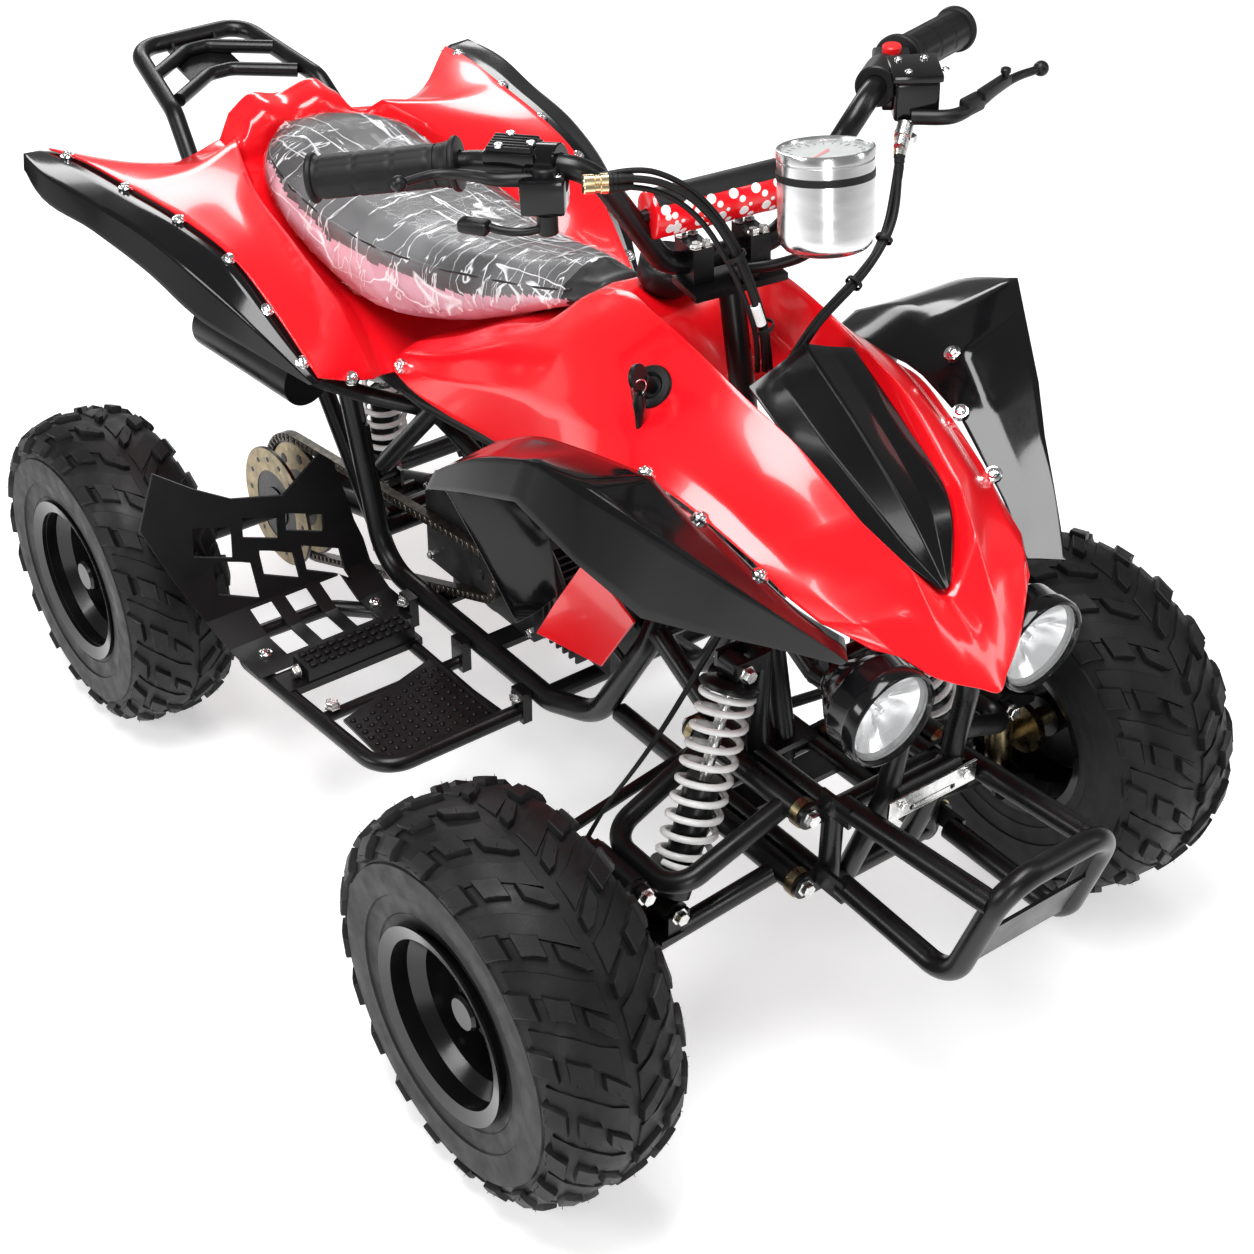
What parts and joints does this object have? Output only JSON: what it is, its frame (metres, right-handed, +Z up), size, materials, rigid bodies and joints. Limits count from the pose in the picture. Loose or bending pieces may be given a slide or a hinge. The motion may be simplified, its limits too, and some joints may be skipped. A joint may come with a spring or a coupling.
{
  "type": "youth quad bike",
  "caption": "Small four-wheeled off-road quad with swept plastic bodywork, exposed double-wishbone front end, high handlebar, front guard and rear grab rack.",
  "frame": {"origin": "on the ground under the middle of the whole machine", "axes": "+Z up, front towards -Y, rider's right towards -X"},
  "size_m": [1.036, 1.803, 1.097],
  "materials": {
    "red_plastic": "gloss",
    "black_gloss": "gloss",
    "black_plastic": "matte",
    "frame_black": "satin",
    "rim_black": "gloss",
    "tyre_rubber": "matte",
    "grip_rubber": "matte",
    "spring_white": "gloss",
    "steel": "satin",
    "alloy": "brushed",
    "bronze": "satin",
    "seat_vinyl": "satin",
    "pad_red": "satin",
    "lamp_clear": "clear",
    "engine_alloy": "cast"
  },
  "bodies": {
    "chassis": {"frame": "frame_black", "bumper": "frame_black", "front_plate": "alloy", "rear_rack": "frame_black", "footrests": "frame_black", "heel_guards": "black_plastic", "front_cowl": "red_plastic", "hood_insert": "black_gloss", "front_fenders": "black_gloss", "rear_body": "red_plastic", "rear_trims": "black_gloss", "side_covers": "red_plastic", "seat": "seat_vinyl", "fuel_cap": "black_plastic", "headlights": "black_gloss", "lenses": "lamp_clear", "engine": "engine_alloy", "silencer": "frame_black", "swing_arm": "frame_black", "drive_chain": "steel", "shocks": "frame_black", "springs": "spring_white", "upper_arms": "frame_black", "lower_arms": "frame_black", "hub_carriers": "frame_black", "arm_bushes": "bronze", "key_switch": "black_plastic", "brake_hose": "grip_rubber"},
    "steering": {"steering_stem": "frame_black", "handlebar": "frame_black", "grips": "grip_rubber", "crossbar_pad": "pad_red", "gauge_pod": "alloy", "controls_right": "black_plastic", "controls_left": "black_plastic", "cables_right": "grip_rubber", "cables_left": "grip_rubber"},
    "knuckle_right": {"knuckle_right": "frame_black"},
    "tie_rod_right": {"tie_rod_right": "steel"},
    "front_wheel_right": {"front_rim_right": "rim_black", "front_tyre_right": "tyre_rubber"},
    "knuckle_left": {"knuckle_left": "frame_black"},
    "tie_rod_left": {"tie_rod_left": "steel"},
    "front_wheel_left": {"front_rim_left": "rim_black", "front_tyre_left": "tyre_rubber"},
    "rear_axle": {"rear_axle": "steel", "rear_rim_right": "rim_black", "rear_rim_left": "rim_black", "rear_tyre_right": "tyre_rubber", "rear_tyre_left": "tyre_rubber"}
  },
  "joints": [
    {"name": "steering_turn", "type": "hinge", "parent": "chassis", "child": "steering", "pos_m": [0, -0.4786, 0.352], "axis": [0, 0.2368, 0.9716], "range_deg": [-34, 34], "deforming": ["cables_right", "cables_left"]},
    {"name": "kingpin_right", "type": "hinge", "parent": "chassis", "child": "knuckle_right", "pos_m": [-0.322, -0.52, 0.258], "axis": [0.1219, 0, 0.9925], "range_deg": [-26.34, 26.34], "deforming": ["brake_hose"]},
    {"name": "wheel_spin_front_right", "type": "hinge", "parent": "knuckle_right", "child": "front_wheel_right", "pos_m": [-0.426, -0.52, 0.2375], "axis": [1, 0, 0], "continuous": true},
    {"name": "tie_rod_turn_right", "type": "hinge", "parent": "knuckle_right", "child": "tie_rod_right", "pos_m": [-0.296, -0.42, 0.315], "axis": [0, 0, 1], "range_deg": [-30.5, 30.5]},
    {"name": "kingpin_left", "type": "hinge", "parent": "chassis", "child": "knuckle_left", "pos_m": [0.322, -0.52, 0.258], "axis": [-0.1219, 0, 0.9925], "range_deg": [-26.34, 26.34]},
    {"name": "wheel_spin_front_left", "type": "hinge", "parent": "knuckle_left", "child": "front_wheel_left", "pos_m": [0.426, -0.52, 0.2375], "axis": [1, 0, 0], "continuous": true},
    {"name": "tie_rod_turn_left", "type": "hinge", "parent": "knuckle_left", "child": "tie_rod_left", "pos_m": [0.296, -0.42, 0.315], "axis": [0, 0, 1], "range_deg": [-30.5, 30.5]},
    {"name": "rear_axle_spin", "type": "hinge", "parent": "chassis", "child": "rear_axle", "pos_m": [0, 0.512, 0.227], "axis": [1, 0, 0], "continuous": true}
  ],
  "couplings": [
    {"joint": "kingpin_right", "follows": "steering_turn", "ratio": 0.76},
    {"joint": "tie_rod_turn_right", "follows": "steering_turn", "ratio": -0.88},
    {"joint": "kingpin_left", "follows": "steering_turn", "ratio": 0.76},
    {"joint": "tie_rod_turn_left", "follows": "steering_turn", "ratio": -0.88}
  ]
}
